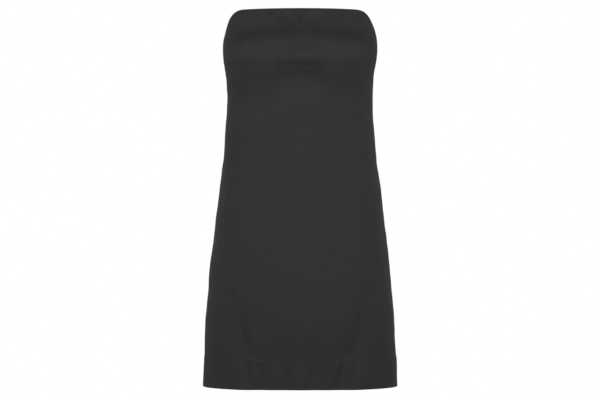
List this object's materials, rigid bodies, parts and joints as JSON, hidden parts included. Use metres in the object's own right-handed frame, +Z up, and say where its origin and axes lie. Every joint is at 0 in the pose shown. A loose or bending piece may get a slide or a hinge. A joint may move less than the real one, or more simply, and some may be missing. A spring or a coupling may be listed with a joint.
{
  "type": "strapless dress held in its worn form",
  "caption": "Strapless A-line mini dress in plain charcoal cloth, filled out in its worn form, with a straight top edge and a back zip.",
  "frame": {"origin": "on the dress's upright axis, at underarm height in the plane of the side seams, where the band round the chest holds it up", "axes": "+Z up along the body, -Y to the wearer's front, +X to the wearer's left"},
  "size_m": [0.3902, 0.2889, 0.7463],
  "materials": {
    "charcoal_cloth": "plain matt suiting with a faint sheen",
    "zip_tape": "woven tape",
    "black_enamel": "satin enamel"
  },
  "bodies": {
    "dress": {"front_panel": "charcoal_cloth", "back_panel_left": "charcoal_cloth", "back_panel_right": "charcoal_cloth", "zip_tape_left": "zip_tape", "zip_tape_right": "zip_tape", "zip_slider": "black_enamel"},
    "pull_tab": {"zip_pull_tab": "black_enamel"}
  },
  "joints": [
    {"name": "pull_tab_swing", "type": "hinge", "parent": "dress", "child": "pull_tab", "pos_m": [0, 0.10134, -0.0034], "axis": [1, 0, 0], "range_deg": [0, 165]}
  ]
}
